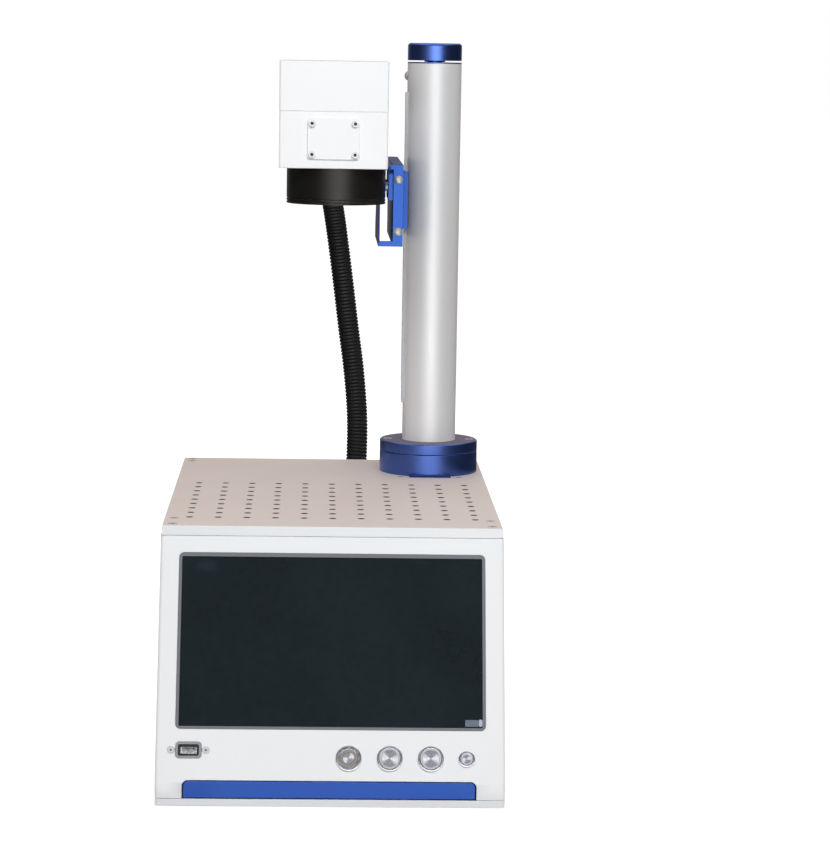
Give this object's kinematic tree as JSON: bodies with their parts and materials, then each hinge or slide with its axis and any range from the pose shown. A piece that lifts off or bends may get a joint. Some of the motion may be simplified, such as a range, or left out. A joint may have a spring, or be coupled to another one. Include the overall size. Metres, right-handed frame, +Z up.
{
  "type": "laser marking machine",
  "caption": "Bench-top laser marking machine: white cabinet with sloping touch-screen front, drilled work plate, height column with hand knob, and a marking head over the plate.",
  "frame": {"origin": "on the surface the machine stands on, under the middle of its box measured without the hose", "axes": "+Z up, +Y from the operator's side to the back, +X to the operator's right"},
  "size_m": [0.295, 0.552, 0.6418],
  "materials": {
    "white_coat": "fine satin powder coat",
    "plate_coat": "satin light grey coat on a solid aluminium plate",
    "rubber": "matt",
    "bright_screws": "bright zinc",
    "grey_band": "satin moulded",
    "screen_glass": "polished cover glass over a dark panel, opaque when off",
    "black_plastic": "moulded",
    "chrome": "polished rims, brushed caps",
    "steel": "brushed",
    "drawer_blue": "satin powder coat",
    "tray_steel": "satin powder coat",
    "machined": "satin anodised, turned",
    "dark_machined": "black anodised",
    "circuit_board": "solder resist",
    "blue_anodised": "blue anodised, finely brushed",
    "dark_blue_anodised": "dark blue anodised, turned",
    "liner": "moulded",
    "nut_brass": "machined",
    "head_coat": "fine white powder coat",
    "mirror": "gold coated scanner mirror",
    "lens": "coated lens",
    "hose": "corrugated black polyamide"
  },
  "bodies": {
    "cabinet": {"base_pan": "white_coat", "rubber_feet": "rubber", "body_shell": "white_coat", "work_plate": "plate_coat", "cabinet_screws": "bright_screws", "rear_panel": "white_coat", "screen_bezel": "grey_band", "screen_glass": "screen_glass", "display_module": "black_plastic", "button_housings": "chrome", "usb_frame": "grey_band", "usb_shell": "steel", "rails_fixed": "steel", "chassis_shelf": "steel", "laser_source": "dark_machined", "power_supply": "machined", "mini_pc": "black_plastic", "control_card": "circuit_board", "fan_frame": "black_plastic", "mains_inlet": "black_plastic", "column_tube": "machined", "flange_lower": "dark_blue_anodised", "flange_upper": "blue_anodised", "column_base": "steel", "slot_liner": "liner", "column_foot": "machined", "screw_bearings": "steel", "column_cap": "blue_anodised", "hose_elbow": "black_plastic", "umbilical_hose": "hose"},
    "drawer": {"drawer_front": "drawer_blue", "drawer_tray": "tray_steel", "rails_moving": "steel"},
    "button_1": {"button_cap_1": "chrome"},
    "button_2": {"button_cap_2": "chrome"},
    "button_3": {"button_cap_3": "chrome"},
    "button_4": {"button_cap_4": "chrome"},
    "fan": {"fan_rotor": "black_plastic"},
    "rocker": {"power_rocker": "black_plastic"},
    "knob": {"lead_screw": "steel", "height_knob": "blue_anodised"},
    "lift": {"lift_nut": "nut_brass", "saddle": "blue_anodised", "arm_beam": "blue_anodised", "arm_end_plate": "blue_anodised", "head_bracket": "blue_anodised", "lens_guard": "dark_blue_anodised", "lift_screws": "bright_screws", "head_base": "head_coat", "head_cover": "head_coat", "head_front_plate": "head_coat", "galvo_mount": "machined", "galvo_motors": "steel", "beam_isolator": "dark_machined", "lens_barrel": "dark_machined", "lens_glass": "lens", "head_gland": "black_plastic"},
    "scan_mirror_x": {"galvo_x": "mirror"},
    "scan_mirror_y": {"galvo_y": "mirror"}
  },
  "joints": [
    {"name": "knob_turn", "type": "hinge", "parent": "cabinet", "child": "knob", "pos_m": [0.0946, 0.15, 0.63], "axis": [0, 0, 1], "range_deg": [-12240, 4320]},
    {"name": "head_lift", "type": "slide", "parent": "cabinet", "child": "lift", "axis": [0, 0, 1], "range_m": [-0.17, 0.06], "deforming": ["umbilical_hose"]},
    {"name": "drawer_slide", "type": "slide", "parent": "cabinet", "child": "drawer", "axis": [0, -1, 0], "range_m": [0, 0.15]},
    {"name": "button_1_press", "type": "slide", "parent": "cabinet", "child": "button_1", "axis": [0, 0.9242, -0.3819], "range_m": [0, 0.0025], "stiffness_N_per_m": 1500, "springref_m": -0.001},
    {"name": "button_2_press", "type": "slide", "parent": "cabinet", "child": "button_2", "axis": [0, 0.9242, -0.3819], "range_m": [0, 0.0025], "stiffness_N_per_m": 1500, "springref_m": -0.001},
    {"name": "button_3_press", "type": "slide", "parent": "cabinet", "child": "button_3", "axis": [0, 0.9242, -0.3819], "range_m": [0, 0.0025], "stiffness_N_per_m": 1500, "springref_m": -0.001},
    {"name": "button_4_press", "type": "slide", "parent": "cabinet", "child": "button_4", "axis": [0, 0.9242, -0.3819], "range_m": [0, 0.0025], "stiffness_N_per_m": 1500, "springref_m": -0.001},
    {"name": "fan_spin", "type": "hinge", "parent": "cabinet", "child": "fan", "pos_m": [-0.07, 0.2, 0.125], "axis": [0, 1, 0], "continuous": true},
    {"name": "power_switch", "type": "hinge", "parent": "cabinet", "child": "rocker", "pos_m": [0.1, 0.215, 0.085], "axis": [1, 0, 0], "range_deg": [0, 20]},
    {"name": "scan_x", "type": "hinge", "parent": "lift", "child": "scan_mirror_x", "pos_m": [-0.018, -0.05, 0.56], "axis": [0, 0, 1], "range_deg": [-12, 12]},
    {"name": "scan_y", "type": "hinge", "parent": "lift", "child": "scan_mirror_y", "pos_m": [0, -0.05, 0.56], "axis": [0, 1, 0], "range_deg": [-12, 12]}
  ],
  "couplings": [
    {"joint": "knob_turn", "follows": "head_lift", "rad_per_m": 1256.6}
  ]
}
